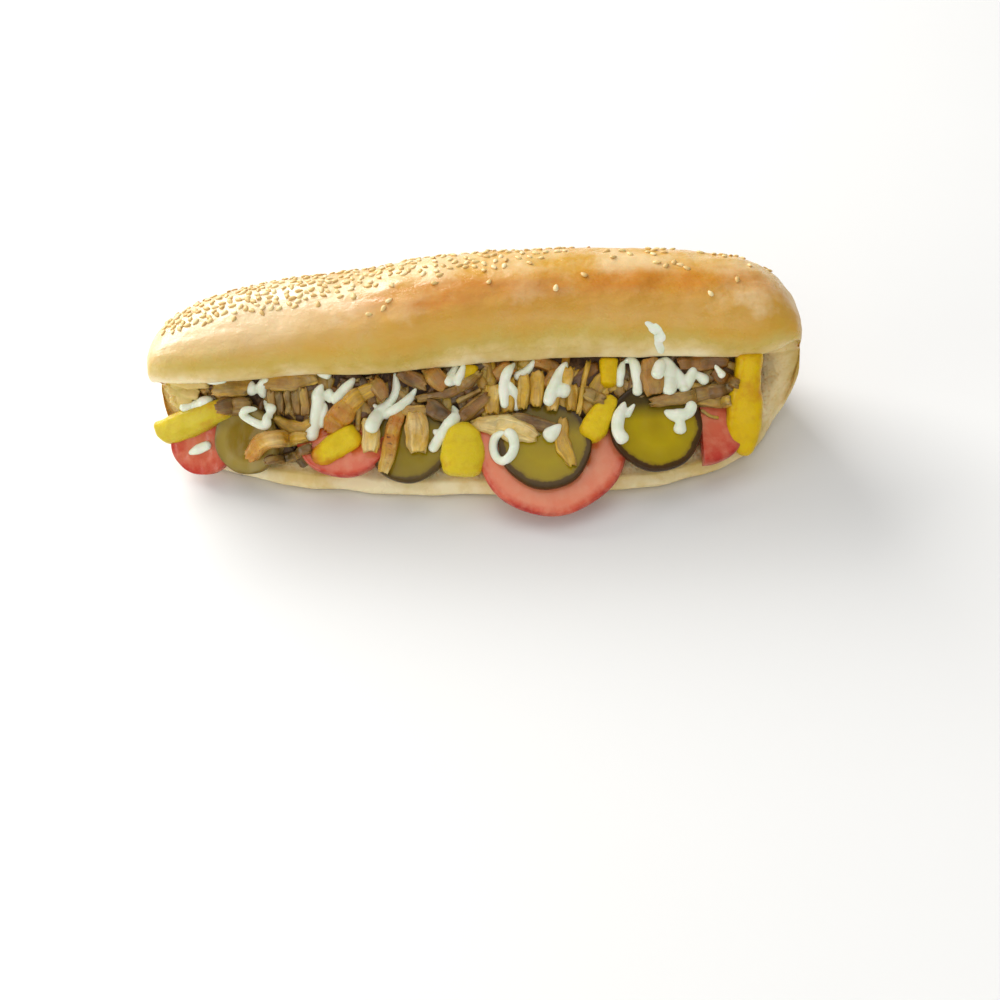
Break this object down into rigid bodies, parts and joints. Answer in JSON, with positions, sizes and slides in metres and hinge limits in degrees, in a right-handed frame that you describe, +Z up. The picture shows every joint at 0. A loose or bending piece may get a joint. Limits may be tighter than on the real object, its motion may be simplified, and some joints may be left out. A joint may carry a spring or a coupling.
{
  "type": "shawarma sandwich",
  "caption": "Long sesame bread roll split along one side, filled with sliced roast chicken, chips, pickle and tomato slices and drizzled white sauce.",
  "frame": {"origin": "on the surface the sandwich rests on, under the middle of its footprint", "axes": "+X along the roll, +Z up, and the open, filled side faces -Y"},
  "size_m": [0.2376, 0.0928, 0.0646],
  "materials": {
    "bread": "baked crust, golden brown, with sesame seeds, and cream crumb at the cut",
    "chicken": "roasted sliced meat with glossy white sauce over it",
    "chip": "fried yellow potato with browned edges",
    "pickle": "wet olive-yellow flesh with a darker rind",
    "tomato": "wet pale red flesh with a redder rim"
  },
  "bodies": {
    "root": {"bread_roll": "bread", "chicken_filling": "chicken", "chip_1": "chip", "chip_2": "chip", "chip_3": "chip", "chip_4": "chip", "chip_5": "chip", "chip_6": "chip", "chip_7": "chip", "pickle_1": "pickle", "pickle_2": "pickle", "pickle_3": "pickle", "pickle_4": "pickle", "tomato_1": "tomato", "tomato_2": "tomato", "tomato_3": "tomato", "tomato_4": "tomato"}
  },
  "joints": []
}
